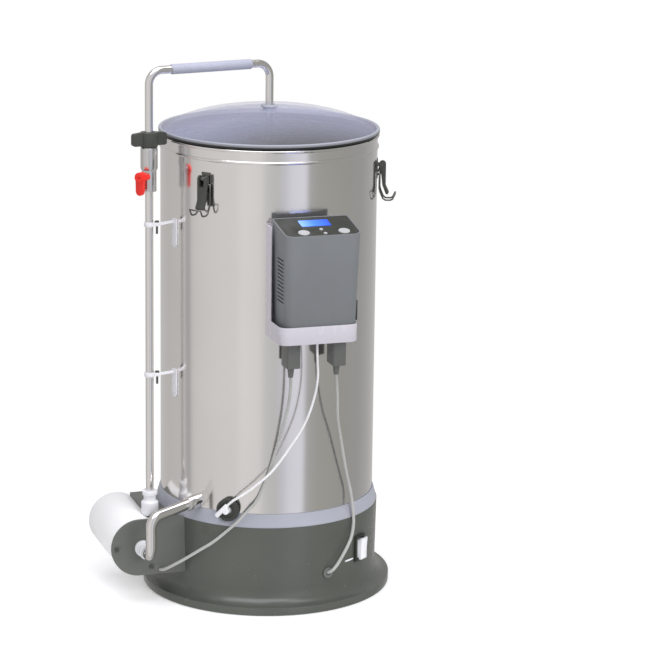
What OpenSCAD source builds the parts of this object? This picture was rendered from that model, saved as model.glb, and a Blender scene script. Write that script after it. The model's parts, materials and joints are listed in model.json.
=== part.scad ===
// Electric all-in-one brewer: boiler with grain basket, pump, recirculation arm and control box.
// Millimetres, +Z up. The origin is on the floor, on the boiler's axis. The control box faces -Y.

/* [Boiler] */
// Outer radius of the boiler wall
boiler_r = 150; // [149:0.5:151]
// Thickness of the boiler wall
boiler_wall = 1.2; // [0.8:0.1:1.6]
// Height of the boiler floor above the ground
floor_z = 118; // [117:0.5:119]
// Height of the middle of the rolled rim
rim_z = 642.4; // [641:0.2:643]
// Height of the embossed bead under the rim
bead_z = 627; // [624:1:629]

/* [Base] */
// Outer radius of the flared foot
foot_r = 175; // [172:1:180]
// Thickness of the base shell's wall
base_wall = 3; // [2.5:0.5:4]
// Height of the top of the base shell
base_top = 121; // [120:0.5:122]

/* [Grain basket] */
// Outer radius of the basket wall
basket_r = 139; // [137:0.5:140]
// Diameter of the four lift holes
lift_hole_d = 14; // [10:1:16]
// Height of the loose top sieve
sieve_z = 520; // [480:5:540]

/* [Lid] */
// Rise of the glass dome above its rim
dome_rise = 28; // [20:1:30]
// Thickness of the glass
glass_t = 4; // [3:0.5:5]

/* [Pipes] */
// Outer diameter of the riser and of the recirculation arm
pipe_d = 11; // [10.5:0.1:11.2]
// Height of the arm's top run
arm_z = 740; // [730:1:750]
// Distance of the riser from the boiler's axis
riser_r = 182.5; // [181:0.5:184]

/* [Control box] */
// Half width of the box at its top
box_half_top = 52.6; // [51:0.1:53]
// Half width of the box at its bottom
box_half_bottom = 50; // [49:0.1:51]
// Thickness of the box's walls
box_wall = 3; // [2:0.5:3.5]

/* [Hidden] */
$fn = 96;
eps = 0.01;

// Base profile
wall_bottom_r = 155.2;
wall_top_r = 157;
flare_r = 20;
foot_bottom = 1;
foot_top = 12;
flare_centre = [wall_bottom_r + flare_r, foot_top + flare_r];
plate_z = 2;
plate_t = 3;
foot_pad_ring = 150;
base_screw_ring = 162;
base_boss_top = 12.5;

// Stations around the boiler, in degrees from the front, positive towards +X
switch_az = 39.2;
switch_z = 72;
switch_r = 156.3;
gland_az = 16.4;
gland_z = 49;
probe_az = -36.8;
probe_z = 144.2;
latch_az = [-51, 69, 189];
latch_z = 602;
latch_pin_r = 157.3;
bail_pin = [153.5, 594];
clip_az = -74.9;
clip_heights = [530, 319];

// Riser and arm
riser_dir = 190.4;
riser_xy = [riser_r * cos(riser_dir), riser_r * sin(riser_dir)];
pipe_r = pipe_d / 2;
pipe_bore_r = pipe_r - 1;
valve_bottom = 576;
valve_top = 605;
socket_top = 637;
stem_az = -50;
valve_mid = 597.5;
arm_bend_r = 19;
arm_leg_bottom = 613;
spout_bottom = 600;

// Pump
cover_xz = [-203.5, 82];
pump_xz = [-200, 82];
pump_front = -71;
plate_depth = 5;
cover_back = 72;
cover_r = 39;
plate_r = 40;
web_t = 5;
elbow_xy = [-200, -118];
elbow_r = 7.3;
elbow_nut_end = -86;
elbow_bend = 15;
ferrule_r = 9.6;
ferrule_len = 20;
wall_port_xy = [-123.1, -85.7];
port_run = norm(wall_port_xy - elbow_xy);
port_dir = atan2(wall_port_xy[1] - elbow_xy[1], wall_port_xy[0] - elbow_xy[0]);
port_rise = 7.1;
upper_bend = 16;
upper_bend_z = 124.5;
slant_run = (port_run - upper_bend * (1 - sin(port_rise))) / cos(port_rise);
wall_port_z = upper_bend_z + upper_bend * cos(port_rise) + slant_run * sin(port_rise);

// Control box
box_x = 7.5;
box_back = -163;
box_front_top = -229.5;
box_front_bottom = -219;
box_bottom = 397.2;
box_corner = 12;
panel_back_z = 556.6;
panel_front_z = 544.3;
box_block_top = 575;
panel_slope = atan((panel_back_z - panel_front_z) / (box_back - box_front_top));
panel_t = 2.5;
panel_lip = 1.6;
display_size = [41, 20.9];
display_y = 21.9;
button_x = box_x + 3.1;
button_y = 54.6;
button_half = 27.9;
button_r = 7.8;
key_spots = [[9.6, 45], [11.2, 59]];
tray_wall = 1.2;
tray_bottom = 396;
tray_band = 24;
tray_side = 25;
tray_x = 4.95;
tray_half = 55.05;
tray_back = -151.5;
tray_front = -222.7;
tray_top = 548;
plug_x = [-20.5, 44];
plug_y = -175;
socket_y = -178.4;
inlet_y = -192;
plug_size = [18.5, 30, 41];
relief_len = 15;
probe_exit = [13, -186];

// Lead routes, chosen by hand
pump_lead_d = 4.2;
pump_lead = [[-20.5, -175, 340], [-21, -176, 325], [-22, -173, 305], [-26, -166, 275],
    [-34, -157, 236], [-44, -151, 197], [-58, -147, 162], [-72, -144, 145], [-86, -139, 128],
    [-112, -125, 101], [-130, -114, 86], [-148, -102, 71], [-162, -92, 60], [-171, -82, 52],
    [-175, -71, 48]];
element_lead_d = 4.6;
element_lead = [[44, -175, 340], [45, -175, 325], [47, -172, 308], [51, -163, 275],
    [59, -153, 243], [71, -142, 193], [81, -135, 157], [85, -136, 125], [84, -139, 109],
    [80, -142, 94], [73, -146, 82], [65, -150, 71], [56, -155, 61], [49, -156, 54],
    [44, -150.5, 49]];
probe_lead_d = 3.4;
probe_lead = [[13, -186, 401], [13, -186, 382], [14, -185, 362], [15, -184, 340],
    [12, -180, 312], [1, -176, 276], [-19, -170, 240], [-42, -163, 206], [-66, -154, 182],
    [-80, -147, 170], [-90, -139, 161], [-96.7, -131.3, 151.5]];
lead_ref = [1, -1, 0];

function arc(c, r, a0, a1, n) = [for (i = [0:n]) let (a = a0 + (a1 - a0) * i / n)
    [c[0] + r * cos(a), c[1] + r * sin(a)]];
function polar(az, r) = [r * sin(az), -r * cos(az)];

// Catmull-Rom point between p[i] and p[i + 1]
function spline_at(p, i, t) = let (n = len(p) - 1, a = p[max(i - 1, 0)], b = p[i],
    c = p[min(i + 1, n)], d = p[min(i + 2, n)])
    0.5 * (2 * b + (c - a) * t + (2 * a - 5 * b + 4 * c - d) * t * t
        + (3 * b - a - 3 * c + d) * t * t * t);
function unit(v) = v / norm(v);
function lead_path(p, steps) = concat([for (i = [0:len(p) - 2]) for (k = [0:steps - 1])
    spline_at(p, i, k / steps)], [p[len(p) - 1]]);

// A tube swept along a route, as one closed solid
module lead_tube(route, d, sides) {
    path = lead_path(route, 2);
    n = len(path);
    tangents = [for (i = [0:n - 1]) unit(path[min(i + 1, n - 1)] - path[max(i - 1, 0)])];
    points = [for (i = [0:n - 1]) let (u = unit(cross(tangents[i], lead_ref)),
        v = cross(tangents[i], u)) for (k = [0:sides - 1])
        path[i] + d / 2 * (u * cos(360 * k / sides) + v * sin(360 * k / sides))];
    walls = [for (i = [0:n - 2]) for (k = [0:sides - 1]) let (k2 = (k + 1) % sides)
        [i * sides + k, i * sides + k2, (i + 1) * sides + k2, (i + 1) * sides + k]];
    first = [for (k = [sides - 1:-1:0]) k];
    last = [for (k = [0:sides - 1]) (n - 1) * sides + k];
    polyhedron(points, concat(walls, [first, last]), convexity = 6);
}

// Places children on the boiler's side: local -Y points outwards, local X runs along the wall
module at_wall(az, r, z) {
    rotate([0, 0, az]) translate([0, -r, z]) children();
}

// A ring turned from its section corners
module ring(r_in, r_out, z0, z1) {
    rotate_extrude() polygon([[r_in, z0], [r_out, z0], [r_out, z1], [r_in, z1]]);
}

// A cylinder along +Y from y0 to y1
module y_rod(r, y0, y1) {
    translate([0, y1, 0]) rotate([90, 0, 0]) cylinder(r = r, h = y1 - y0);
}

module rounded_rect(w, h, r) {
    hull() for (x = [-1, 1], y = [-1, 1]) translate([x * (w / 2 - r), y * (h / 2 - r)])
        circle(r = r, $fn = 32);
}

// Pan-head screw standing on z = 0, shank down
module pan_screw(shank_r, shank_len, head_h = 2) {
    translate([0, 0, -shank_len]) cylinder(r = shank_r, h = shank_len, $fn = 24);
    difference() {
        cylinder(r = shank_r * 1.9, h = head_h, $fn = 24);
        for (a = [0, 90]) rotate([0, 0, a]) translate([-1.6, -0.4, head_h - 0.8])
            cube([3.2, 0.8, 2]);
    }
}

// ---------------------------------------------------------------- base

// Outer profile of the base as a solid of revolution, grown by a clearance
module base_envelope(gap) {
    rotate_extrude() polygon(concat([[0, foot_bottom], [foot_r + gap, foot_bottom]],
        arc(flare_centre, flare_r - gap, 270, 180, 10), [[wall_top_r + gap, base_top],
        [0, base_top]]));
}

module base_hollow() {
    inner_r = flare_r + base_wall;
    rotate_extrude() polygon(concat([[0, -1], [foot_r - base_wall, -1]],
        arc(flare_centre, inner_r, 262, 180, 10), [[wall_top_r - base_wall, base_top + 1],
        [0, base_top + 1]]));
}

module base_boss_places() for (i = [0:5]) rotate([0, 0, 60 * i + 30])
    translate([base_screw_ring, 0, plate_z + plate_t]) children();

module base_shell() color("#5c5d59") difference() {
    union() {
        difference() {
            base_envelope(0);
            base_hollow();
        }
        ring(136, wall_top_r - base_wall + 1, floor_z - 5, floor_z);
        base_boss_places() cylinder(r = 5, h = base_boss_top - plate_z - plate_t, $fn = 48);
    }
    base_boss_places() translate([0, 0, -1]) cylinder(r = 1.65, h = 6, $fn = 24);
    at_wall(switch_az, wall_top_r, switch_z) cube([19.8, 30, 33.6], center = true);
    at_wall(switch_az, switch_r - 0.2, switch_z) translate([-11.6, -6, -18.4]) cube([23.2, 6, 36.8]);
    at_wall(gland_az, wall_top_r, gland_z) y_rod(5, -10, 15);
}

module base_plate() color("#30312f") difference() {
    translate([0, 0, plate_z]) cylinder(r = foot_r - base_wall - 0.3, h = plate_t);
    for (row = [[60, 12], [90, 18], [120, 24]]) for (i = [0:row[1] - 1])
        rotate([0, 0, 360 * i / row[1]]) translate([row[0] - 9, -2, 0]) cube([18, 4, 10]);
    for (i = [0:5]) rotate([0, 0, 60 * i + 30]) translate([base_screw_ring, 0, 0])
        cylinder(r = 1.7, h = 10, $fn = 24);
}

module base_feet() color("#202020") {
    for (i = [0:5]) rotate([0, 0, 60 * i]) translate([foot_pad_ring, 0, 0])
        cylinder(r = 11, h = plate_z, $fn = 48);
    cylinder(r = 11, h = plate_z, $fn = 48);
}

// Wedge ring with a pocket behind the probe's knob
module base_seal_ring() color("#989fa8") difference() {
    rotate_extrude() polygon([[boiler_r + 0.1, base_top], [wall_top_r - 0.4, base_top],
        [wall_top_r - 1.2, base_top + 3], [boiler_r + 1.8, 138], [boiler_r + 1.2, 139],
        [boiler_r + 0.1, 139]]);
    at_wall(probe_az, boiler_r, probe_z) y_rod(16.2, -12, -0.9);
}

// ---------------------------------------------------------------- boiler

module boiler_shell() color("#c6c7c7") {
    difference() {
        union() {
            rotate_extrude() polygon(concat([[0, floor_z]],
                arc([boiler_r - 8, floor_z + 8], 8, 270, 360, 6),
                [[boiler_r, rim_z]], [[boiler_r - boiler_wall, rim_z]],
                arc([boiler_r - 8, floor_z + 8], 8 - boiler_wall, 360, 270, 6),
                [[0, floor_z + boiler_wall]]));
            rotate_extrude() translate([boiler_r - 0.3, bead_z]) circle(r = 2.2, $fn = 24);
            rotate_extrude() translate([boiler_r + 0.1, rim_z]) circle(r = 2.2, $fn = 24);
            for (i = [0:3]) rotate([0, 0, 45 + 90 * i])
                translate([boiler_r - 10, -10, 170]) cube([9.2, 20, 6]);
        }
        port_axis() cylinder(r = ferrule_r + 0.05, h = 30, center = true);
        at_wall(probe_az, boiler_r, probe_z) y_rod(6.05, -10, 10);
    }
}

module heating_element() color("#9fa2a3") {
    translate([0, 0, floor_z - 6]) cylinder(r = 118, h = 6);
    ring(78, 86, floor_z - 12, floor_z - 5);
    for (a = [10, 350]) rotate([0, 0, a]) translate([82, 0, floor_z - 24])
        cylinder(r = 2.5, h = 15, $fn = 24);
}

// ---------------------------------------------------------------- switch, gland and probe

module switch_bezel() color("#47494d") at_wall(switch_az, switch_r, switch_z) difference() {
    union() {
        translate([-11.5, -3, -18.3]) cube([23, 2.8, 36.6]);
        translate([-9.7, -0.5, -16.6]) cube([19.4, 14.5, 33.2]);
    }
    translate([-8, -4, -15.4]) cube([16, 15, 30.8]);
    rotate([0, 90, 0]) translate([0, 2, 0]) cylinder(r = 1.55, h = 18, center = true, $fn = 48);
}

// Rocker with a cap that overhangs its opening, on a pin across the bezel
module switch_rocker() color("#f2f2f4") at_wall(switch_az, switch_r, switch_z) {
    translate([-7.5, 0, 0]) rotate([90, 0, 90]) linear_extrude(15)
        polygon([[-9.8, 15.2], [-8.6, 0], [-8.4, -15.2], [-5.6, -15.2], [-4.5, -12.6], [2, -12.2],
            [7, -4], [7, 4], [2, 12.2], [-6.6, 12.6], [-7.3, 15.2]]);
    translate([0, 2, 0]) rotate([0, 90, 0]) cylinder(r = 1.5, h = 17.4, center = true, $fn = 48);
}

module element_gland() color("#7f817d") at_wall(gland_az, 155.7, gland_z) {
    difference() {
        union() {
            y_rod(7.6, -2.6, 0);
            y_rod(4.9, 0, 9);
        }
        y_rod(3.2, -5, 10);
    }
}

module probe_knob() color("#34363a") at_wall(probe_az, boiler_r, probe_z) difference() {
    y_rod(15.6, -9, -1.4);
    y_rod(6.06, -12, 2);
    translate([0, -9, 0]) y_rod(11, -3, 2);
    for (i = [0:23]) rotate([0, 15 * i, 0]) translate([16, 0, 0]) y_rod(1, -10, 0);
}

// Tip inside the boiler, shank through the knob, and a right-angle body outside
module probe_head() color("#e4e4ea") at_wall(probe_az, boiler_r, probe_z) {
    difference() {
        union() {
            y_rod(6, -4, 3);
            y_rod(4.4, -15, -3);
            y_rod(3, 2, 34);
            translate([-5.9, -13, 0]) rotate([0, 43.5, 0]) cylinder(r = 3.3, h = 22, center = true);
        }
        translate([-5.9, -13, 0]) rotate([0, 43.5, 0]) translate([0, 0, 9.3])
            cylinder(r = probe_lead_d / 2, h = 10);
    }
}

// ---------------------------------------------------------------- pump

// Axis of the slanting outlet port, at the point where it meets the wall, +Z along it inwards
module port_axis() {
    translate([wall_port_xy[0], wall_port_xy[1], wall_port_z]) rotate([0, 90 - port_rise, port_dir])
        children();
}

module outlet_ferrule() color("#d8d9de") port_axis() difference() {
    translate([0, 0, -ferrule_len]) cylinder(r = ferrule_r, h = ferrule_len + 8);
    translate([0, 0, -ferrule_len - 1]) cylinder(r = elbow_r + 0.03, h = ferrule_len - 1);
    translate([0, 0, -ferrule_len]) cylinder(r = 5, h = 60);
}

module outlet_filter() color("#b9bcc0") port_axis() difference() {
    translate([0, 0, 8]) cylinder(r = 15, h = 14);
    translate([0, 0, 7]) cylinder(r = 13.6, h = 13.6);
    for (i = [0:11]) rotate([0, 0, 30 * i]) translate([4, -1, 0]) cube([8, 2, 30]);
}

// Elbow pipe from the inlet nut, forwards, up, and over to the ferrule
module inlet_elbow() color("#c9cad0") {
    translate([pump_xz[0], 0, pump_xz[1]]) difference() {
        y_rod(elbow_r, elbow_xy[1] + elbow_bend, elbow_nut_end);
        y_rod(elbow_r - 1, elbow_xy[1] + elbow_bend - 1, elbow_nut_end + 1);
    }
    translate([elbow_xy[0], elbow_xy[1] + elbow_bend, pump_xz[1] + elbow_bend])
        rotate([0, 90, 0]) elbow_sector(elbow_bend);
    translate([elbow_xy[0], elbow_xy[1], pump_xz[1] + elbow_bend])
        tube(elbow_r, elbow_r - 1, upper_bend_z - pump_xz[1] - elbow_bend);
    translate([elbow_xy[0], elbow_xy[1], upper_bend_z]) rotate([0, 0, port_dir])
        translate([upper_bend, 0, 0]) rotate([90, 0, 0]) rotate([0, 0, 90 + port_rise]) {
            rotate_extrude(angle = 90 - port_rise) translate([upper_bend, 0])
                pipe_section(elbow_r, elbow_r - 1);
            translate([upper_bend, 0, 0]) rotate([90, 0, 0])
                tube(elbow_r, elbow_r - 1, slant_run - 3);
        }
}

module pipe_section(r_out, r_in) difference() {
    circle(r = r_out, $fn = 48);
    circle(r = r_in, $fn = 48);
}

module tube(r_out, r_in, h) difference() {
    cylinder(r = r_out, h = h);
    translate([0, 0, -1]) cylinder(r = r_in, h = h + 2);
}

// Quarter bend in the local XY plane, ending on -Y and on +X of the bend's centre
module elbow_sector(r) rotate([0, 0, 270]) rotate_extrude(angle = 90) translate([r, 0])
    pipe_section(elbow_r, elbow_r - 1);

module pump_nuts() color("#f4f4f6") {
    translate([pump_xz[0], 0, pump_xz[1]]) difference() {
        union() {
            y_rod(11.2, -77, pump_front);
            y_rod(8.6, -79, -77);
            y_rod(10, -85, -79);
            y_rod(8.2, -87, -85);
            y_rod(9.5, -95, -87);
        }
        y_rod(5.55, -96, -70);
        y_rod(elbow_r + 0.05, -96, elbow_nut_end);
    }
    translate([riser_xy[0], riser_xy[1], 118]) difference() {
        union() {
            cylinder(r = 12, h = 18);
            translate([0, 0, 18]) cylinder(r1 = 12, r2 = 8.6, h = 3);
            translate([0, 0, 21]) cylinder(r = 8.6, h = 6);
            translate([0, 0, 27]) cylinder(r1 = 8.6, r2 = 10.6, h = 1.5);
            translate([0, 0, 28.5]) cylinder(r = 10.6, h = 6);
        }
        translate([0, 0, -1]) cylinder(r = pipe_r + 0.05, h = 50);
    }
}

module plate_outline() {
    translate([cover_xz[0], 0]) circle(r = plate_r);
    translate([cover_xz[0], -plate_r]) square([80, 2 * plate_r]);
}

// Front plate, top web and lower rib that carry the pump beside the base
module pump_bracket() color("#63645f") difference() {
    union() {
        translate([0, pump_front + plate_depth, cover_xz[1]]) rotate([90, 0, 0])
            linear_extrude(plate_depth) plate_outline();
        translate([-184, pump_front, cover_xz[1] + plate_r - web_t - 1])
            cube([60, 134, web_t]);
        translate([-164, pump_front, cover_xz[1] - plate_r]) cube([30, 110, web_t]);
    }
    base_envelope(0.1);
    translate([0, 0, base_top - 1]) cylinder(r = wall_top_r + 0.1, h = 5);
    translate([riser_xy[0], riser_xy[1], 100]) cylinder(r = 13, h = 30);
    translate([pump_xz[0], 0, pump_xz[1]]) y_rod(9.05, -80, -60);
    translate([-200, riser_xy[1] - 13, 100]) cube([riser_xy[0] + 200, 26, 30]);
    for (p = bracket_screws()) translate([p[0], 0, p[1]]) y_rod(1.7, -80, -60);
}

function bracket_screws() = [for (a = [60, 180, 300]) [cover_xz[0] + 33 * cos(a),
    cover_xz[1] + 33 * sin(a)]];

module motor_cover() color("#eef0f2") difference() {
    translate([cover_xz[0], 0, cover_xz[1]]) difference() {
        union() {
            y_rod(cover_r, pump_front + plate_depth, cover_back - 1.5);
            translate([0, cover_back, 0]) rotate([90, 0, 0])
                cylinder(r1 = cover_r - 1.5, r2 = cover_r, h = 1.5);
        }
        y_rod(cover_r - 1.3, pump_front, cover_back - 3);
    }
    translate([riser_xy[0], riser_xy[1], cover_xz[1]]) cylinder(r = 12.2, h = 60);
    translate([pump_xz[0], 0, pump_xz[1]]) y_rod(4.05, 60, 90);
    for (i = [0:7]) translate([cover_xz[0], 0, cover_xz[1]]) rotate([0, 45 * i, 0])
        translate([14, 60, -1.5]) cube([16, 30, 3]);
}

// Wet end: inlet neck, impeller chamber, containment can with its fixed pin, outlet spigot
module pump_volute() color("#4a4c4e") {
    difference() {
        translate([pump_xz[0], 0, pump_xz[1]]) union() {
            y_rod(9, -70.9, -46);
            y_rod(5.5, -85.5, -70);
            y_rod(31, -46, -20);
            y_rod(18, -20, 7);
        }
        translate([pump_xz[0], 0, pump_xz[1]]) union() {
            y_rod(3.8, -90, -40);
            y_rod(26, -41, -25);
            y_rod(16, -26, 5);
        }
        outlet_spigot(3.6, 100, 60);
    }
    difference() {
        outlet_spigot(5.5, 108, 27);
        outlet_spigot(3.6, 100, 60);
    }
    translate([pump_xz[0], 0, pump_xz[1]]) y_rod(2.45, -42, 6);
}

module outlet_spigot(r, z0, h) translate([riser_xy[0], riser_xy[1], z0]) cylinder(r = r, h = h);

module impeller() color("#dfe0dc") translate([pump_xz[0], 0, pump_xz[1]]) difference() {
    union() {
        y_rod(25, -29, -26.5);
        y_rod(15.4, -27, 3);
        y_rod(6, -38, -28);
        for (i = [0:5]) rotate([0, 60 * i, 0]) translate([4, -38, -1]) cube([20, 10, 2]);
    }
    y_rod(2.5, -45, 10);
}

module drive_magnet() color("#3a3a40") translate([pump_xz[0], 0, pump_xz[1]]) {
    difference() {
        y_rod(26, -12, 13);
        y_rod(18.6, -13, 9);
    }
    y_rod(4, 12, 70);
    y_rod(16, 24, 56);
}

module motor_stator() color("#b5713a") translate([pump_xz[0], 0, pump_xz[1]]) {
    difference() {
        y_rod(33.5, 22, 58);
        y_rod(17, 20, 60);
        for (i = [0:11]) rotate([0, 30 * i, 0]) translate([18, 20, -2]) cube([9, 40, 4]);
    }
}

// ---------------------------------------------------------------- riser, valve and collar

module riser_pipe() color("#bfc0c4") translate([riser_xy[0], riser_xy[1], 136])
    tube(pipe_r, pipe_bore_r, valve_bottom - 136);

// One clip: loop round the riser, pinch block, flat arm and a tab on the wall
clip_foot = polar(clip_az, boiler_r + 0.8);
clip_reach = norm(clip_foot - riser_xy);
clip_rise = 3.6;
clip_heading = atan2(clip_foot[1] - riser_xy[1], clip_foot[0] - riser_xy[0]);

module pipe_clip(z) {
    difference() {
        union() {
            translate([riser_xy[0], riser_xy[1], z - 3]) cylinder(r = pipe_r + 1.6, h = 6);
            translate([riser_xy[0], riser_xy[1], z - 3]) rotate([0, 0, clip_heading])
                translate([6, -3.5, 0.5]) cube([8, 7, 5]);
        }
        translate([riser_xy[0], riser_xy[1], z - 10]) cylinder(r = pipe_r + 0.05, h = 20);
        clip_screw_place(z) translate([0, 0, -20]) cylinder(r = 1.65, h = 40, $fn = 24);
    }
    translate([riser_xy[0], riser_xy[1], z - 2]) rotate([0, 0, clip_heading])
        translate([0, 0.8, 0]) rotate([90, 0, 0]) linear_extrude(1.6)
            polygon([[13, 0], [clip_reach, clip_rise], [clip_reach, clip_rise + 4], [13, 4]]);
    at_wall(clip_az, boiler_r, z) translate([0, -0.1, 0]) rotate([90, 0, 0]) linear_extrude(1.5)
        polygon(concat([[6.5, 6.8], [-6.5, 6.8]], arc([0, -26], 6.5, 180, 360, 8)));
}

module clip_screw_place(z) {
    translate([riser_xy[0], riser_xy[1], z + 2.5]) rotate([0, 0, clip_heading])
        translate([10.5, 0, 0]) children();
}

module pipe_clips() color("#e2e2e6") for (z = clip_heights) pipe_clip(z);

module screws() color("#8d9094") {
    for (z = clip_heights) clip_screw_place(z) pan_screw(1.6, 16);
    for (i = [0:5]) rotate([0, 0, 60 * i + 30]) translate([base_screw_ring, 0, plate_z])
        rotate([180, 0, 0]) pan_screw(1.6, 7, 1.4);
    for (p = bracket_screws()) translate([p[0], pump_front, p[1]]) rotate([90, 0, 0])
        pan_screw(1.6, 4.6);
}

// Places children at the valve's middle: local -Y points along the stem
module at_valve() {
    translate([riser_xy[0], riser_xy[1], valve_mid]) rotate([0, 0, stem_az]) children();
}

module valve_body() color("#a9afba") difference() {
    union() {
        translate([riser_xy[0], riser_xy[1], valve_bottom])
            cylinder(r = 10, h = valve_top - valve_bottom);
        at_valve() y_rod(5.5, -14, 0);
    }
    translate([riser_xy[0], riser_xy[1], valve_bottom - 1]) cylinder(r = pipe_bore_r, h = 40);
    at_valve() sphere(r = 7.05);
    at_valve() y_rod(2.55, -20, 0);
}

module valve_ball() color("#d5d6d8") at_valve() difference() {
    union() {
        sphere(r = 7);
        y_rod(2.5, -18, -5);
    }
    translate([0, 0, -20]) cylinder(r = pipe_bore_r - 0.5, h = 40);
}

// Hub on the stem with a stop lug beside it, and a flat blade that hangs along the pipe
module valve_handle() color("#e5352b") at_valve() difference() {
    union() {
        y_rod(7, -24, -14.5);
        hull() {
            translate([-1, 0, 0.4]) y_rod(6, -22, -16);
            translate([9.6, 0, 1.4]) y_rod(4, -21, -16);
        }
        hull() {
            y_rod(6.6, -22.5, -17);
            translate([-0.6, 0, -19]) y_rod(6, -22, -17.5);
        }
    }
    y_rod(2.5, -18, -10);
    translate([-2.6, -26, -1]) cube([5.2, 4, 2]);
}

module pipe_socket() color("#c4c5c6") translate([riser_xy[0], riser_xy[1], valve_top]) difference() {
    union() {
        cylinder(r1 = 10.6, r2 = 11.7, h = 2.5);
        translate([0, 0, 2.5]) cylinder(r = 11.7, h = 27);
        translate([0, 0, 29.5]) cylinder(r1 = 11.7, r2 = 10.8, h = 2);
        cylinder(r = 8.5, h = 43);
    }
    translate([0, 0, -1]) cylinder(r = pipe_bore_r, h = 60);
    translate([0, 0, 7.5]) cylinder(r = pipe_r + 0.06, h = 60);
}

// Two-winged nut that turns on the socket's neck
module locking_collar() color("#4d4f4b") translate([riser_xy[0], riser_xy[1], socket_top])
    difference() {
        union() {
            translate([0, 0, 0.2]) cylinder(r = 12, h = 19.4);
            for (a = [10, 190]) rotate([0, 0, a]) translate([9, -4.2, 1.6]) wing();
        }
        translate([0, 0, -1]) cylinder(r = 8.58, h = 12.4);
        translate([0, 0, -1]) cylinder(r = pipe_r + 0.35, h = 30);
    }

module wing() hull() {
    cube([2, 8.4, 18]);
    for (z = [3.5, 13.5]) translate([12.4, 4.2, z]) rotate([90, 0, 0])
        cylinder(r = 3.6, h = 7.4, center = true, $fn = 32);
}

// ---------------------------------------------------------------- recirculation arm

// Local X runs from the boiler's axis to the riser
module in_arm_plane() rotate([0, 0, riser_dir]) children();

module arm_bend() rotate([90, 0, 0]) rotate_extrude(angle = 90) translate([arm_bend_r, 0])
    pipe_section(pipe_r, pipe_bore_r);

module arm_pipe() color("#c8c9ce") in_arm_plane() {
    translate([0, 0, spout_bottom]) tube(pipe_r, pipe_bore_r, arm_z - arm_bend_r - spout_bottom);
    translate([riser_r, 0, arm_leg_bottom])
        tube(pipe_r, pipe_bore_r, arm_z - arm_bend_r - arm_leg_bottom);
    translate([arm_bend_r, 0, arm_z - arm_bend_r]) mirror([1, 0, 0]) arm_bend();
    translate([riser_r - arm_bend_r, 0, arm_z - arm_bend_r]) arm_bend();
    translate([arm_bend_r, 0, arm_z]) rotate([0, 90, 0])
        tube(pipe_r, pipe_bore_r, riser_r - 2 * arm_bend_r);
}

module arm_grip() color("#b6b6cb") in_arm_plane() translate([29, 0, arm_z]) rotate([0, 90, 0])
    difference() {
        union() {
            cylinder(r1 = 6.3, r2 = 6.9, h = 1);
            translate([0, 0, 1]) cylinder(r = 6.9, h = 118.5);
            translate([0, 0, 119.5]) cylinder(r1 = 6.9, r2 = 6.3, h = 1);
        }
        translate([0, 0, -1]) cylinder(r = pipe_r + 0.02, h = 140);
    }

// ---------------------------------------------------------------- lid

lid_z = 651;
lid_glass_r = 148;
grommet_hole_r = 9;
function dome_z(r) = lid_z + dome_rise * (1 - pow(r / lid_glass_r, 2.8));
dome_steps = [for (i = [0:14]) grommet_hole_r + (lid_glass_r - grommet_hole_r)
    * (1 - pow(1 - i / 14, 1.6))];

module lid_glass() color("#c9d0dd", 0.4) rotate_extrude() polygon(concat(
    [for (r = dome_steps) [r, dome_z(r)]],
    [for (i = [14:-1:0]) [dome_steps[i] - (i == 14 ? 2 : 0), dome_z(dome_steps[i]) - glass_t]]));

// Gasket rim: outer bead over the boiler's rim, and a skirt inside it
module lid_rim() color("#2b2c2d") rotate_extrude() polygon(concat([[143.2, 636], [144.2, 636],
    [145, 644.7], [149.6, 644.7], [149.6, 645.5]],
    arc([151.2, 647.3], 1.6, 270, 360, 5), arc([150.8, 650.4], 2, 0, 100, 6),
    [[148.05, 651.2], [148.05, 646.9], [143.2, 646.9]]));

module lid_grommet() color("#d9dbe2") rotate_extrude() polygon([[pipe_r + 0.4, 671.5],
    [12, 671.5], [12, 674], [8.95, 674.4], [8.95, 679.4], [12, 679.4], [11, 682], [7.5, 682.6],
    [pipe_r + 0.4, 682]]);

// ---------------------------------------------------------------- basket

basket_top = 640;
basket_floor = 178;
sieve_t = 1.5;

module sieve_slots(rows, z) for (row = rows) for (i = [0:row[1] - 1])
    rotate([0, 0, 360 * i / row[1]]) translate([row[0], -1.5, z - 2]) cube([row[2], 3, 8]);

module basket() color("#bdbfc1") difference() {
    union() {
        ring(basket_r - 1, basket_r, basket_floor, basket_top);
        ring(basket_r - 1, basket_r + 0.8, basket_top - 2.5, basket_top);
        ring(13.95, 145, basket_floor - 1.6, basket_floor + sieve_t);
    }
    sieve_slots([[24, 16, 14], [46, 24, 16], [70, 36, 20], [98, 48, 26]], basket_floor);
    for (i = [0:3]) rotate([0, 0, -9 + 90 * i]) translate([0, 0, 614])
        y_rod(lift_hole_d / 2, basket_r - 10, basket_r + 10);
}

module basket_top_sieve() color("#c9cbcd") difference() {
    union() {
        translate([0, 0, sieve_z]) cylinder(r = basket_r - 1.4, h = sieve_t);
        ring(15, 17, sieve_z, sieve_z + 18);
        ring(basket_r - 4, basket_r - 1.4, sieve_z, sieve_z + 6);
    }
    translate([0, 0, sieve_z - 5]) cylinder(r = 15, h = 30);
    sieve_slots([[24, 16, 14], [46, 24, 16], [70, 36, 20], [98, 48, 26]], sieve_z);
}

module overflow_pipe() color("#c3c5c7") difference() {
    union() {
        translate([0, 0, basket_floor - 6]) cylinder(r = 13.9, h = 400);
        translate([0, 0, basket_floor + 394]) cylinder(r1 = 13.9, r2 = 9, h = 6);
    }
    translate([0, 0, basket_floor - 7]) cylinder(r = 12.7, h = 400);
    for (i = [0:3]) rotate([0, 0, 45 * i]) translate([-20, -2, basket_floor + 370])
        cube([40, 4, 16]);
}

// ---------------------------------------------------------------- side latches

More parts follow.
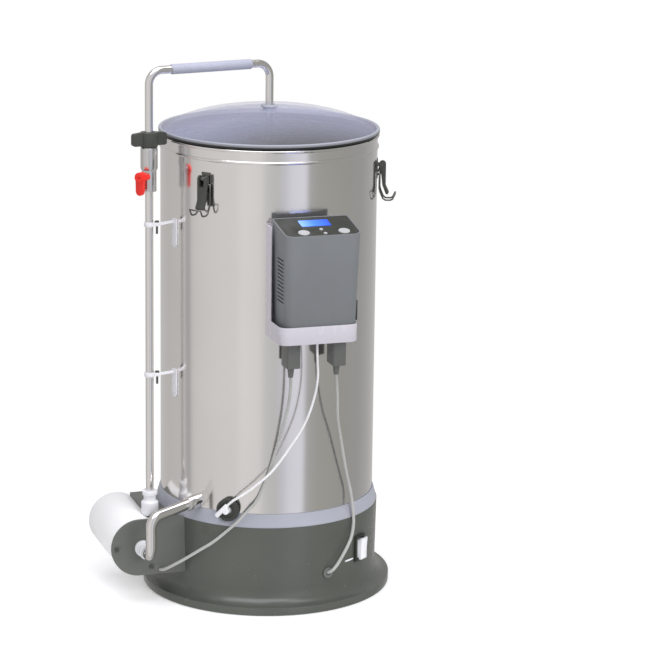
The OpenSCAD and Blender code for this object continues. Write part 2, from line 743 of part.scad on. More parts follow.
// Fixed plate with a lug, its pin, and two rivets
module latch_bracket() {
    lug = latch_pin_r - boiler_r;
    difference() {
        union() {
            intersection() {
                translate([-7, -3, -19]) cube([14, 6, 27]);
                translate([0, boiler_r, -30]) difference() {
                    cylinder(r = boiler_r + 0.9, h = 60);
                    translate([0, 0, -1]) cylinder(r = boiler_r + 0.02, h = 62);
                }
            }
            translate([-3.5, -lug, -2.4]) cube([7, lug - 0.8, 4.8]);
            translate([0, -lug, 0]) rotate([0, 90, 0]) cylinder(r = 3, h = 7, center = true);
        }
        translate([0, boiler_r, -30]) cylinder(r = boiler_r + 0.02, h = 60);
    }
    translate([0, -lug, 0]) rotate([0, 90, 0]) cylinder(r = 1.5, h = 12.4, center = true);
    for (z = [-14, -9]) translate([0, 0, z]) y_rod(1.6, -2.2, -0.6);
}

module latch_brackets() color("#6d6e6a") for (az = latch_az) at_wall(az, boiler_r, latch_z)
    latch_bracket();

// Lever outline in (distance outwards, height) from the pivot pin, drawn hanging
lever_outline = concat(arc([0, 0], 4.7, 200, 0, 10), [[4.7, -29], [9.2, -39], [7.4, -41.4],
    [5.2, -40.6], [0.2, -28], [-1.4, -14]], arc([bail_pin[0] - latch_pin_r,
    bail_pin[1] - latch_z], 2.4, 300, 150, 6));

module latch_lever(az) color("#50524e") at_wall(az, latch_pin_r, latch_z) difference() {
    translate([6.5, 0, 0]) rotate([90, 0, -90]) linear_extrude(13) polygon(lever_outline);
    translate([-4, -20, -11]) cube([8, 40, 30]);
    rotate([0, 90, 0]) cylinder(r = 1.55, h = 20, center = true, $fn = 48);
    translate([0, latch_pin_r - bail_pin[0], bail_pin[1] - latch_z]) rotate([0, 90, 0])
        cylinder(r = 1.25, h = 20, center = true, $fn = 48);
}

// Bail: axle, two side strips that kick outwards, and a turned-up crosspiece
wire_r = 1.2;
bail_half = 8.8;
bail_side = [[0, 1.6], [0, -26], [6, -40.5], [18, -40.5], [22.3, -31]];
bail_hook = [21.8, -32.1];

function left_of(p, q) = let (d = unit(q - p)) [-d[1], d[0]];
function mitre(p, i) = let (n = len(p) - 1, a = left_of(p[max(i - 1, 0)], p[max(i, 1)]),
    b = left_of(p[min(i, n - 1)], p[min(i + 1, n)])) (a + b) / (1 + a * b);
function strip_outline(p, half) = concat([for (i = [0:len(p) - 1]) p[i] + half * mitre(p, i)],
    [for (i = [len(p) - 1:-1:0]) p[i] - half * mitre(p, i)]);

module latch_bail(az) color("#8b8d90") at_wall(az, bail_pin[0], bail_pin[1]) {
    rotate([0, 90, 0]) cylinder(r = wire_r, h = 2 * bail_half, center = true, $fn = 48);
    for (s = [-1, 1]) translate([s * bail_half + wire_r, 0, 0]) rotate([90, 0, -90])
        linear_extrude(2 * wire_r) polygon(strip_outline(bail_side, wire_r + 0.1));
    translate([0, -bail_hook[0], bail_hook[1]]) rotate([0, 90, 0])
        cylinder(r = wire_r, h = 2 * bail_half, center = true, $fn = 48);
}

module latch_lever_1() latch_lever(latch_az[0]);
module latch_lever_2() latch_lever(latch_az[1]);
module latch_lever_3() latch_lever(latch_az[2]);
module latch_bail_1() latch_bail(latch_az[0]);
module latch_bail_2() latch_bail(latch_az[1]);
module latch_bail_3() latch_bail(latch_az[2]);

// ---------------------------------------------------------------- control box

// Housing's front face and half width at a height
function box_rise(z) = (z - box_bottom) / (panel_front_z - box_bottom);
function box_front(z) = box_front_bottom + (box_front_top - box_front_bottom) * box_rise(z);
function box_half(z) = box_half_bottom + (box_half_top - box_half_bottom) * box_rise(z);

// Tapered block of the housing, drawn in by an inset
module box_block(inset) hull() for (s = [-1, 1], z = [box_bottom + inset, box_block_top]) {
    box_post(s, inset, z, 3, box_back - 3 - inset);
    box_post(s, inset, z, box_corner - inset, box_front(z) + box_corner);
}

module box_post(s, inset, z, r, y) translate([box_x + s * (box_half(z) - inset - r), y, z])
    cylinder(r = r, h = eps, $fn = 32);

// Everything above the sloping panel plane, moved along its normal by d
module above_panel(d) translate([box_x, box_back, panel_back_z]) rotate([panel_slope, 0, 0])
    translate([-100, -120, d]) cube([200, 160, 80]);

// Places children on the panel: x across, y from the back edge towards the front
module on_panel(x, y) translate([0, box_back, panel_back_z]) rotate([panel_slope, 0, 0])
    translate([x, -y, 0]) children();

module box_shell() color("#7f8285") difference() {
    box_block(0);
    difference() {
        box_block(box_wall);
        above_panel(-panel_t);
    }
    intersection() {
        box_block(panel_lip);
        above_panel(-panel_t);
    }
    above_panel(0);
    for (i = [0:11]) for (s = [-1, 1]) translate([box_x + s * 51, -199 - i * 0.2, 452 + 5.2 * i])
        cube([12, 27, 2.2], center = true);
    for (x = plug_x) translate([x, socket_y, box_bottom]) cube([19, 24.2, 10], center = true);
    translate([probe_exit[0], probe_exit[1], box_bottom - 5]) cylinder(r = 3, h = 20);
    translate([box_x + box_half_bottom, inlet_y, 436]) cube([24, 29, 21], center = true);
}

module box_panel() color("#4a4c4b") difference() {
    intersection() {
        box_block(panel_lip + 0.1);
        difference() {
            above_panel(-panel_t);
            above_panel(-0.4);
        }
    }
    on_panel(box_x, display_y) translate([0, 0, -5]) linear_extrude(10)
        rounded_rect(display_size[0] + 0.4, display_size[1] + 0.4, 2);
    for (s = [-1, 1]) on_panel(button_x + s * button_half, button_y) translate([0, 0, -5])
        cylinder(r = button_r + 0.08, h = 10, $fn = 64);
    for (spot = key_spots) on_panel(spot[0], spot[1]) translate([0, 0, -5])
        cylinder(r = 2.56, h = 10, $fn = 48);
}

module display_window() color("#3c66e8") on_panel(box_x, display_y) translate([0, 0, -2.4])
    linear_extrude(2.2) rounded_rect(display_size[0], display_size[1], 1.8);

module round_button(s) color("#d9dadb") on_panel(button_x + s * button_half, button_y) {
    translate([0, 0, -4]) cylinder(r = button_r, h = 4.6, $fn = 64);
    translate([0, 0, 0.6]) cylinder(r1 = button_r, r2 = button_r - 0.8, h = 0.6, $fn = 64);
    translate([0, 0, -5.5]) cylinder(r = button_r + 1.2, h = 1.5, $fn = 64);
}

module small_key(spot) color("#b9bbb9") on_panel(spot[0], spot[1]) {
    translate([0, 0, -4]) cylinder(r = 2.5, h = 4.6, $fn = 48);
    translate([0, 0, -5.5]) cylinder(r = 3.6, h = 1.5, $fn = 48);
}

module button_left() round_button(-1);
module button_right() round_button(1);
module key_back() small_key(key_spots[0]);
module key_front() small_key(key_spots[1]);

// Sheet tray: back plate, two side strips, bottom band and floor, on a welded stand-off
module bracket_tray() color("#d7d4dc") difference() {
    union() {
        intersection() {
            tray_block(0);
            union() {
                translate([-100, -300, tray_bottom]) cube([200, 300, tray_band]);
                translate([-100, tray_back - tray_side, tray_bottom])
                    cube([200, tray_side + 3, tray_top - tray_bottom]);
            }
        }
        translate([tray_x - 25, tray_back - 1, 430]) cube([50, 25, 90]);
    }
    difference() {
        tray_block(tray_wall);
        translate([-100, -300, 0]) cube([200, 300, tray_bottom + tray_wall]);
    }
    translate([0, 0, 300]) cylinder(r = boiler_r + 0.02, h = 400);
    for (x = plug_x) translate([x, socket_y, tray_bottom]) cube([19, 24.2, 10], center = true);
    translate([probe_exit[0], probe_exit[1], tray_bottom - 5]) cylinder(r = 2.6, h = 20);
    translate([tray_x - 22, tray_back + 0.1, 420]) cube([44, 20, 120]);
    // The right flange stops at the band, clear of the mains inlet
    translate([tray_x + tray_half - 5, box_back - 20, tray_bottom + tray_band])
        cube([20, 22, 200]);
}

module tray_block(inset) {
    r = box_corner + 1.6 - inset;
    back_r = 3 - inset;
    half = tray_half - inset;
    hull() for (s = [-1, 1]) {
        translate([tray_x + s * (half - back_r), tray_back - 3, tray_bottom])
            cylinder(r = back_r, h = 160, $fn = 32);
        translate([tray_x + s * (half - r), tray_front + inset + r, tray_bottom])
            cylinder(r = r, h = 160, $fn = 32);
    }
}

module circuit_board() color("#2f6b3f") translate([box_x, -182, 470]) {
    cube([70, 1.6, 92], center = true);
    translate([-26, -7, 20]) cube([24, 13, 18], center = true);
    translate([20, -9, 24]) cube([30, 17, 22], center = true);
    translate([22, -8, -20]) cube([22, 15, 26], center = true);
    for (x = [-30, -16, -2]) translate([x, -0.5, -22]) y_rod(5, -16, 0);
}

module box_sockets() color("#2c2d2e") for (x = plug_x) translate([x, socket_y, tray_bottom])
    difference() {
        translate([-9.3, -11.9, 0]) cube([18.6, 23.8, 16]);
        for (y = [-8, 0, 8]) translate([-3, y - 1, -1]) cube([6, 2, 12]);
    }

module mains_inlet() color("#2a2b2c") translate([box_x + box_half_bottom, inlet_y, 436]) difference() {
    union() {
        translate([1.2, -18, -13.5]) cube([2.4, 36, 27]);
        translate([-14, -14.2, -10.2]) cube([16, 28.4, 20.4]);
    }
    translate([-11, -12, -8]) cube([30, 24, 16]);
}

module box_plugs() color("#6a6d6e") for (x = plug_x) {
    translate([x, plug_y, tray_bottom - plug_size[2]]) linear_extrude(plug_size[2])
        rounded_rect(plug_size[0], plug_size[1], 2.5);
    translate([x, plug_y, tray_bottom - plug_size[2] - relief_len])
        cylinder(r1 = 3.4, r2 = 5, h = relief_len);
}

module pump_cord() color("#a9aba9") lead_tube(pump_lead, pump_lead_d, 10);
module element_cord() color("#9fa19e") lead_tube(element_lead, element_lead_d, 8);
module probe_cord() color("#f0f0f2") lead_tube(probe_lead, probe_lead_d, 8);

base_shell();
base_plate();
base_feet();
base_seal_ring();
boiler_shell();
heating_element();
switch_bezel();
switch_rocker();
element_gland();
probe_knob();
probe_head();
outlet_ferrule();
outlet_filter();
inlet_elbow();
pump_nuts();
pump_bracket();
pump_volute();
motor_cover();
motor_stator();
impeller();
drive_magnet();
riser_pipe();
pipe_clips();
screws();
valve_body();
valve_ball();
valve_handle();
pipe_socket();
locking_collar();
arm_pipe();
arm_grip();
lid_glass();
lid_rim();
lid_grommet();
basket();
basket_top_sieve();
overflow_pipe();
latch_brackets();
latch_lever_1();
latch_lever_2();
latch_lever_3();
latch_bail_1();
latch_bail_2();
latch_bail_3();
bracket_tray();
box_shell();
box_panel();
display_window();
button_left();
button_right();
key_back();
key_front();
circuit_board();
box_sockets();
mains_inlet();
box_plugs();
pump_cord();
element_cord();
probe_cord();
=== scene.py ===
"""Looks of the electric all-in-one brewer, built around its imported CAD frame. Metres, +Z up."""
import json
import math

import bmesh
import bpy
from mathutils import Matrix, Vector


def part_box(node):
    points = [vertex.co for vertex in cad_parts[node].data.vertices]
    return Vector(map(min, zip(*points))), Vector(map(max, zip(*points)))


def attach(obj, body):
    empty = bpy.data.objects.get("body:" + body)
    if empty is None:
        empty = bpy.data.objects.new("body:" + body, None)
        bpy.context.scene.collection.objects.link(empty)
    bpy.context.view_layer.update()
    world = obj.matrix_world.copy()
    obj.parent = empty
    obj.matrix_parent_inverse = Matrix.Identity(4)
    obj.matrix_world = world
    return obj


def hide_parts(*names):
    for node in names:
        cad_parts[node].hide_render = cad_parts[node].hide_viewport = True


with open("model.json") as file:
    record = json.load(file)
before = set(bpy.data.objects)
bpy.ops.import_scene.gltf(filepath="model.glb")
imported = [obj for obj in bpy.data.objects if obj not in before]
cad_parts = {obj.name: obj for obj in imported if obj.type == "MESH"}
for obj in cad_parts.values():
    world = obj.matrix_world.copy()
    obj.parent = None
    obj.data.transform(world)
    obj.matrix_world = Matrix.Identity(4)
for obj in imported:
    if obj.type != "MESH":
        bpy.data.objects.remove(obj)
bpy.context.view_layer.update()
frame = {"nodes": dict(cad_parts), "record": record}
NODES = frame["nodes"]
MM = 0.001

# ---------------------------------------------------------------- camera

CAMERA_PLACE = (-1.1214, -3.6678, 1.3131)
CAMERA_HEADING = 18.15      # degrees clockwise from +Y, seen from above
CAMERA_DOWN = 13.76
CAMERA_ROLL = 0.73
CAMERA_LENS = 157.1


def make_camera():
    data = bpy.data.cameras.new("camera")
    data.sensor_width = 36
    data.lens = CAMERA_LENS
    data.clip_start, data.clip_end = 0.1, 60
    camera = bpy.data.objects.new("camera", data)
    bpy.context.scene.collection.objects.link(camera)
    turn = Matrix.Rotation(-math.radians(CAMERA_HEADING), 4, "Z")
    tilt = Matrix.Rotation(math.radians(90 - CAMERA_DOWN), 4, "X")
    roll = Matrix.Rotation(math.radians(CAMERA_ROLL), 4, "Z")
    camera.matrix_world = Matrix.Translation(CAMERA_PLACE) @ turn @ tilt @ roll
    bpy.context.scene.camera = camera


make_camera()

# ---------------------------------------------------------------- leads

PUMP_LEAD_D = 0.0042
PUMP_LEAD = [(-0.0205, -0.175, 0.340), (-0.021, -0.176, 0.325), (-0.022, -0.173, 0.305),
             (-0.026, -0.166, 0.275), (-0.034, -0.157, 0.236), (-0.044, -0.151, 0.197),
             (-0.058, -0.147, 0.162), (-0.072, -0.144, 0.145), (-0.086, -0.139, 0.128),
             (-0.112, -0.125, 0.101), (-0.130, -0.114, 0.086), (-0.148, -0.102, 0.071),
             (-0.162, -0.092, 0.060), (-0.171, -0.082, 0.052), (-0.175, -0.071, 0.048)]
ELEMENT_LEAD_D = 0.0046
ELEMENT_LEAD = [(0.044, -0.175, 0.340), (0.045, -0.175, 0.325), (0.047, -0.172, 0.308),
                (0.051, -0.163, 0.275), (0.059, -0.153, 0.243), (0.071, -0.142, 0.193),
                (0.081, -0.135, 0.157), (0.085, -0.136, 0.125), (0.084, -0.139, 0.109),
                (0.080, -0.142, 0.094), (0.073, -0.146, 0.082), (0.065, -0.150, 0.071),
                (0.056, -0.155, 0.061), (0.049, -0.156, 0.054), (0.044, -0.1505, 0.049)]
PROBE_LEAD_D = 0.0034
PROBE_LEAD = [(0.013, -0.186, 0.401), (0.013, -0.186, 0.382), (0.014, -0.185, 0.362),
              (0.015, -0.184, 0.340), (0.012, -0.180, 0.312), (0.001, -0.176, 0.276),
              (-0.019, -0.170, 0.240), (-0.042, -0.163, 0.206), (-0.066, -0.154, 0.182),
              (-0.080, -0.147, 0.170), (-0.090, -0.139, 0.161), (-0.0967, -0.1313, 0.1515)]


def spline_path(points, steps):
    """Catmull-Rom samples through the points."""
    p = [Vector(x) for x in points]
    last = len(p) - 1
    path = []
    for i in range(last):
        a, b, c, d = p[max(i - 1, 0)], p[i], p[i + 1], p[min(i + 2, last)]
        for k in range(steps):
            t = k / steps
            path.append(0.5 * (2 * b + (c - a) * t + (2 * a - 5 * b + 4 * c - d) * t * t
                               + (3 * b - a - 3 * c + d) * t ** 3))
    return path + [p[last]]


def wire_curve(name, path, diameter, closed=False):
    """A round wire or lead along a path, as one curve; each point's radius is the wire's own."""
    data = bpy.data.curves.new(name, "CURVE")
    data.dimensions = "3D"
    data.bevel_depth = 1.0
    data.bevel_resolution = 5
    data.use_fill_caps = True
    spline = data.splines.new("POLY")
    spline.points.add(len(path) - 1)
    for point, place in zip(spline.points, path):
        point.co = (*place, 1)
        point.radius = diameter / 2
    spline.use_cyclic_u = closed
    spline.use_smooth = True
    piece = bpy.data.objects.new(name, data)
    bpy.context.scene.collection.objects.link(piece)
    return piece


def make_lead(name, route, diameter, node):
    path = spline_path(route, 8)
    piece = wire_curve(name, path, diameter)
    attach(piece, "root")
    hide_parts(node)
    return piece


pump_lead = make_lead("pump_lead", PUMP_LEAD, PUMP_LEAD_D, "pump_cord")
element_lead = make_lead("element_lead", ELEMENT_LEAD, ELEMENT_LEAD_D, "element_cord")
probe_lead = make_lead("probe_lead", PROBE_LEAD, PROBE_LEAD_D, "probe_cord")

# ---------------------------------------------------------------- latch bails, switch marks

BAIL_WIRE_D = 0.0024
BAIL_HALF = 0.0088
BAIL_PIN = (0.1535, 0.594)      # distance from the axis, height
# One side of the wire, from its pin down to the lever: (outwards, up) from the pin
BAIL_SIDE = [(0, 0), (0, -0.024), (0.0012, -0.029), (0.005, -0.038), (0.0085, -0.0405),
             (0.0155, -0.0405), (0.0185, -0.0390), (0.0218, -0.0321)]
LATCH_AZIMUTHS = (-51, 69, 189)


def around_axis(azimuth, radius, height):
    """Frame on the body's wall: X along the wall, -Y outwards, azimuth from the front to +X."""
    turn = Matrix.Rotation(math.radians(azimuth), 4, "Z")
    return turn @ Matrix.Translation((0, -radius, height))


def make_bail(index, azimuth):
    place = around_axis(azimuth, *BAIL_PIN)
    down = [Vector((BAIL_HALF, -out, up)) for out, up in BAIL_SIDE]
    back = [Vector((-v.x, v.y, v.z)) for v in reversed(down)]
    piece = wire_curve(f"bail_wire_{index}", [place @ v for v in down + back], BAIL_WIRE_D, True)
    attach(piece, f"bail_{index}")
    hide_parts(f"latch_bail_{index}")
    return piece


bails = [make_bail(i + 1, azimuth) for i, azimuth in enumerate(LATCH_AZIMUTHS)]

MARK_RADIUS = 0.1558
MARK_PROUD = 0.0002
MARK_SUNK = 0.0006
MARK_HALF = 0.00125
MARK_STEPS = 14
MARK_TIP = 0.55             # width at the very end, as a part of the full width
# Two plain printed strokes beside the switch: (azimuth, height) of each end
MARKS = {"mark_upper": ((31.7, 0.0793), (34.6, 0.0809)),
         "mark_lower": ((28.1, 0.0585), (34.6, 0.0588))}


def make_mark(name, start, end):
    """A thin raised stroke that follows the base's wall, its ends tapered a little."""
    shape = bmesh.new()
    rows = []
    for i in range(MARK_STEPS + 1):
        t = i / MARK_STEPS
        azimuth = start[0] + (end[0] - start[0]) * t
        height = start[1] + (end[1] - start[1]) * t
        half = MARK_HALF * min(1, MARK_TIP + (1 - MARK_TIP) * min(i, MARK_STEPS - i) / 2)
        inner, outer = MARK_RADIUS - MARK_SUNK, MARK_RADIUS + MARK_PROUD
        corners = ((inner, -half), (outer, -half * 0.9), (outer, half * 0.9), (inner, half))
        rows.append([shape.verts.new(around_axis(azimuth, radius, height + rise) @ Vector())
                     for radius, rise in corners])
    for a, b in zip(rows, rows[1:]):
        for k in range(4):
            shape.faces.new((a[k], a[(k + 1) % 4], b[(k + 1) % 4], b[k]))
    shape.faces.new(rows[0])
    shape.faces.new(rows[-1])
    bmesh.ops.recalc_face_normals(shape, faces=shape.faces)
    mesh = bpy.data.meshes.new(name)
    shape.to_mesh(mesh)
    shape.free()
    piece = bpy.data.objects.new(name, mesh)
    bpy.context.scene.collection.objects.link(piece)
    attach(piece, "root")
    return piece


marks = [make_mark(name, *ends) for name, ends in MARKS.items()]

# ---------------------------------------------------------------- materials


def linear(r, g, b):
    """Display colour, 0 to 255, as the linear colour a shader takes."""
    def one(v):
        v /= 255
        return v / 12.92 if v <= 0.04045 else ((v + 0.055) / 1.055) ** 2.4
    return one(r), one(g), one(b), 1


class Surface:
    """A node material: a principled shader whose colour, roughness and bump vary over the piece."""

    def __init__(self, name, roughness=0.5, metallic=0.0, specular=0.5, coat=0.0):
        self.material = bpy.data.materials.new(name)
        self.material.use_nodes = True
        self.tree = self.material.node_tree
        self.shader = self.tree.nodes["Principled BSDF"]
        self.set("Roughness", roughness)
        self.set("Metallic", metallic)
        self.set("Specular IOR Level", specular)
        self.set("Coat Weight", coat)
        self.place = self.add("ShaderNodeTexCoord").outputs["Object"]
        self.height = None

    def add(self, kind, **settings):
        node = self.tree.nodes.new(kind)
        for key, value in settings.items():
            setattr(node, key, value)
        return node

    def set(self, socket, value):
        self.shader.inputs[socket].default_value = value

    def link(self, output, socket):
        self.tree.links.new(output, socket)

    def noise(self, scale, stretch=(1, 1, 1), detail=3.0, rough=0.5, distortion=0.0):
        """Noise over the piece, scale in cells per metre."""
        mapping = self.add("ShaderNodeMapping")
        mapping.inputs["Scale"].default_value = stretch
        self.link(self.place, mapping.inputs["Vector"])
        node = self.add("ShaderNodeTexNoise")
        node.inputs["Scale"].default_value = scale
        node.inputs["Detail"].default_value = detail
        node.inputs["Roughness"].default_value = rough
        node.inputs["Distortion"].default_value = distortion
        self.link(mapping.outputs["Vector"], node.inputs["Vector"])
        return node.outputs["Fac"]

    def colour(self, fac, stops):
        """Base colour from a ramp over fac; stops are (place, linear colour)."""
        ramp = self.add("ShaderNodeValToRGB")
        elements = ramp.color_ramp.elements
        while len(elements) < len(stops):
            elements.new(0.5)
        for element, (place, value) in zip(elements, stops):
            element.position, element.color = place, value
        self.link(fac, ramp.inputs["Fac"])
        self.link(ramp.outputs["Color"], self.shader.inputs["Base Color"])
        return ramp.outputs["Color"]

    def along(self, axis, start, end):
        """0 to 1 from start to end, in metres, along the part's X, Y or Z."""
        split = self.add("ShaderNodeSeparateXYZ")
        self.link(self.place, split.inputs["Vector"])
        span = self.add("ShaderNodeMapRange")
        span.inputs["From Min"].default_value = start
        span.inputs["From Max"].default_value = end
        self.link(split.outputs[axis], span.inputs["Value"])
        return span.outputs["Result"]

    def vary(self, socket, fac, low, high):
        """Spreads fac's middle half over low to high, into a shader socket."""
        spread = self.add("ShaderNodeMapRange")
        spread.inputs["From Min"].default_value = 0.3
        spread.inputs["From Max"].default_value = 0.7
        spread.inputs["To Min"].default_value = low
        spread.inputs["To Max"].default_value = high
        self.link(fac, spread.inputs["Value"])
        self.link(spread.outputs["Result"], self.shader.inputs[socket])

    def bump(self, fac, depth, strength=1.0):
        """Adds a bump of that depth in metres, on top of the ones before it."""
        node = self.add("ShaderNodeBump")
        node.inputs["Distance"].default_value = depth
        node.inputs["Strength"].default_value = strength
        self.link(fac, node.inputs["Height"])
        if self.height is not None:
            self.link(self.height, node.inputs["Normal"])
        self.height = node.outputs["Normal"]
        self.link(self.height, self.shader.inputs["Normal"])


def shades(colour, spread):
    """Two stops around a colour, darker and lighter by the spread."""
    low = tuple(c * (1 - spread) for c in colour[:3]) + (1,)
    high = tuple(min(c * (1 + spread), 1) for c in colour[:3]) + (1,)
    return [(0.3, low), (0.7, high)]


def moulded(name, colour, rough=(0.38, 0.5), grain=0.00003, spread=0.06, specular=0.4):
    """Moulded plastic: fine spark grain, faint cloudy colour, small handling marks."""
    s = Surface(name, specular=specular)
    s.colour(s.noise(14, detail=4), shades(colour, spread))
    s.vary("Roughness", s.noise(60, detail=5, rough=0.7), *rough)
    s.bump(s.noise(1500, detail=2), grain)
    s.bump(s.noise(30, detail=2), grain * 4, 0.3)
    return s


def painted(name, colour, rough=(0.28, 0.36), coat=0.2):
    """Painted metal: orange peel under a clear coat."""
    s = Surface(name, specular=0.5, coat=coat)
    s.colour(s.noise(9, detail=5), shades(colour, 0.03))
    s.vary("Roughness", s.noise(45, detail=4), *rough)
    s.bump(s.noise(420, detail=1), 0.00002)
    return s


def steel(name, colour, rough=(0.1, 0.16), brush=(1, 1, 60), brush_scale=30, depth=0.000004):
    """Stainless steel: fine lines left by polishing, smears and a few scratches."""
    s = Surface(name, metallic=1.0)
    s.colour(s.noise(6, detail=6, distortion=0.4), shades(colour, 0.025))
    lines = s.noise(brush_scale, stretch=brush, detail=6, rough=0.7)
    s.vary("Roughness", lines, *rough)
    s.bump(lines, depth)
    s.bump(s.noise(220, stretch=(1, 1, 0.08), detail=2), depth, 0.4)
    return s


def rubber(name, colour, rough=(0.55, 0.7)):
    s = Surface(name, specular=0.3)
    s.colour(s.noise(40, detail=3), shades(colour, 0.05))
    s.vary("Roughness", s.noise(120, detail=3), *rough)
    s.bump(s.noise(2400, detail=2), 0.00001)
    s.set("Sheen Weight", 0.1)
    return s


def lid_glass_with_painted_shade():
    """Toughened glass, its colour painted dark grey at the front of the dome and pale lavender at
    the back: painted shade where the shadowed inside shows through the front, painted light where
    the lit far wall shows through the back.
    """
    s = Surface("lid_glass", specular=0.6)
    # Painted shade and light: dark grey at the front of the dome, rising to pale lavender at the
    # back
    s.colour(s.along("Y", -0.148, 0.148),
             [(0.0, linear(120, 122, 124)), (0.16, linear(166, 169, 188)),
              (0.42, linear(208, 211, 240)), (1.0, linear(238, 240, 255))])
    s.vary("Roughness", s.noise(25, detail=5, rough=0.7), 0.02, 0.06)
    s.set("Alpha", 0.36)
    s.material.surface_render_method = "BLENDED"
    return s


def lid_gasket_with_painted_highlight():
    """Black seal under the dome, with a pale grey band along its top that is a painted highlight of
    the glass edge.
    """
    s = Surface("lid_gasket", specular=0.4)
    # Painted highlight: the top of the seal turns pale lavender-grey for the bright line along the
    # glass edge
    s.colour(s.along("Z", 0.6455, 0.6525),
             [(0.0, linear(34, 35, 36)), (0.36, linear(44, 45, 46)),
              (0.48, linear(132, 134, 138)), (1.0, linear(168, 171, 182))])
    s.vary("Roughness", s.noise(120, detail=3), 0.28, 0.4)
    s.bump(s.noise(900, detail=2), 0.00001)
    return s


def display_surface():
    """Backlit blue window, paler at its left end."""
    s = Surface("display", roughness=0.12, specular=0.5)
    low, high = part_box("display_window")
    lit = s.colour(s.along("X", low.x, high.x), [(0.0, linear(118, 160, 255)),
                                                (0.45, linear(60, 114, 244)),
                                                (1.0, linear(34, 74, 214))])
    s.link(lit, s.shader.inputs["Emission Color"])
    s.set("Emission Strength", 0.75)
    s.bump(s.noise(900, detail=1), 0.000005)
    return s


MATERIALS = {
    "base_plastic": moulded("base_plastic", linear(84, 87, 81), rough=(0.2, 0.28), specular=0.6),
    "feet_rubber": rubber("feet_rubber", linear(38, 38, 38)),
    "seal_silicone": moulded("seal_silicone", linear(170, 173, 183), rough=(0.28, 0.38)),
    "dark_wire": steel("dark_wire", linear(112, 112, 108), rough=(0.24, 0.34)),
    "lid_gasket": lid_gasket_with_painted_highlight(),
    "polished_steel": steel("polished_steel", linear(236, 234, 232)),
    "satin_steel": steel("satin_steel", linear(214, 214, 214), rough=(0.2, 0.3)),
    "pump_can_paint": painted("pump_can_paint", linear(253, 253, 254)),
    "bracket_paint": painted("bracket_paint", linear(100, 102, 97), rough=(0.4, 0.5), coat=0),
    "white_plastic": moulded("white_plastic", linear(240, 240, 244), rough=(0.2, 0.3), spread=0.02),
    "black_plastic": moulded("black_plastic", linear(62, 64, 60)),
    "dark_collar": moulded("dark_collar", linear(70, 72, 67), rough=(0.35, 0.5)),
    "red_vinyl": moulded("red_vinyl", linear(255, 54, 44), rough=(0.28, 0.36), spread=0.03),
    "grip_silicone": rubber("grip_silicone", linear(176, 178, 194)),
    "lid_glass": lid_glass_with_painted_shade(),
    "box_plastic": moulded("box_plastic", linear(125, 128, 131), rough=(0.42, 0.52)),
    "panel_plastic": moulded("panel_plastic", linear(54, 56, 51), rough=(0.3, 0.4)),
    "display": display_surface(),
    "button_plastic": moulded("button_plastic", linear(190, 192, 193), rough=(0.25, 0.35)),
    "tray_paint": painted("tray_paint", linear(210, 206, 215), rough=(0.2, 0.3)),
    "board": moulded("board", linear(44, 110, 62), rough=(0.3, 0.4)),
    "copper": steel("copper", linear(196, 128, 76), rough=(0.25, 0.4)),
    "magnet": moulded("magnet", linear(60, 60, 66)),
    "plug_plastic": moulded("plug_plastic", linear(108, 110, 107), rough=(0.42, 0.52)),
    "cord_grey": rubber("cord_grey", linear(180, 181, 178), rough=(0.4, 0.5)),
    "cord_white": rubber("cord_white", linear(242, 242, 244), rough=(0.35, 0.45)),
}


DRESSED = [(NODES[row["node"]], row["material_slot"]) for row in frame["record"]["subparts"]]
DRESSED += [(pump_lead, "cord_grey"), (element_lead, "cord_grey"), (probe_lead, "cord_white")]
DRESSED += [(bail, "dark_wire") for bail in bails] + [(mark, "white_plastic") for mark in marks]
for piece, slot_name in DRESSED:
    piece.data.materials.clear()
    piece.data.materials.append(MATERIALS[slot_name].material)

# ---------------------------------------------------------------- softened edges

# Millimetres; a node that isn't listed keeps its sharp edges
EDGE_RADIUS = {
    "box_shell": 1.2, "box_panel": 0.5, "bracket_tray": 0.3, "box_plugs": 1.0,
    "valve_handle": 1.5, "locking_collar": 1.0, "switch_rocker": 0.9, "switch_bezel": 0.8,
    "pump_bracket": 0.6, "pump_nuts": 0.5, "base_shell": 0.9, "motor_cover": 0.8,
    "latch_lever_1": 0.8, "latch_lever_2": 0.8, "latch_lever_3": 0.8, "pipe_clips": 0.3,
    "latch_brackets": 0.3, "outlet_ferrule": 0.5, "probe_knob": 0.4, "probe_head": 0.4,
    "pipe_socket": 0.4, "valve_body": 0.5, "base_seal_ring": 0.4, "element_gland": 0.5,
    "mains_inlet": 0.5, "screws": 0.2, "button_left": 0.3, "button_right": 0.3,
    "key_back": 0.2, "key_front": 0.2, "arm_grip": 0.3, "lid_grommet": 0.4,
}


def soften(node, radius):
    """Joins the imported facets, rounds the sharp edges and shades the rest smooth."""
    for polygon in node.data.polygons:
        polygon.use_smooth = True
    weld = node.modifiers.new("weld", "WELD")
    weld.merge_threshold = 0.00001
    if radius:
        bevel = node.modifiers.new("bevel", "BEVEL")
        bevel.width = radius * MM
        bevel.segments = 2
        bevel.limit_method = "ANGLE"
        bevel.angle_limit = math.radians(38)
    split = node.modifiers.new("split", "EDGE_SPLIT")
    split.split_angle = math.radians(32)


for node_name, node in NODES.items():
    soften(node, EDGE_RADIUS.get(node_name, 0))

# ---------------------------------------------------------------- stage and light

FLOOR_RADIUS = 0.5


def make_floor():
    mesh = bpy.data.meshes.new("floor")
    shape = bmesh.new()
    bmesh.ops.create_circle(shape, cap_ends=True, segments=96, radius=FLOOR_RADIUS)
    shape.to_mesh(mesh)
    shape.free()
    floor = bpy.data.objects.new("floor", mesh)
    bpy.context.scene.collection.objects.link(floor)
    s = Surface("floor_paper", roughness=0.8, specular=0.1)
    s.colour(s.noise(3), shades(linear(252, 252, 252), 0.004))
    s.set("Emission Color", (1, 1, 1, 1))
    s.set("Emission Strength", 0.22)
    mesh.materials.append(s.material)
    floor.visible_glossy = False


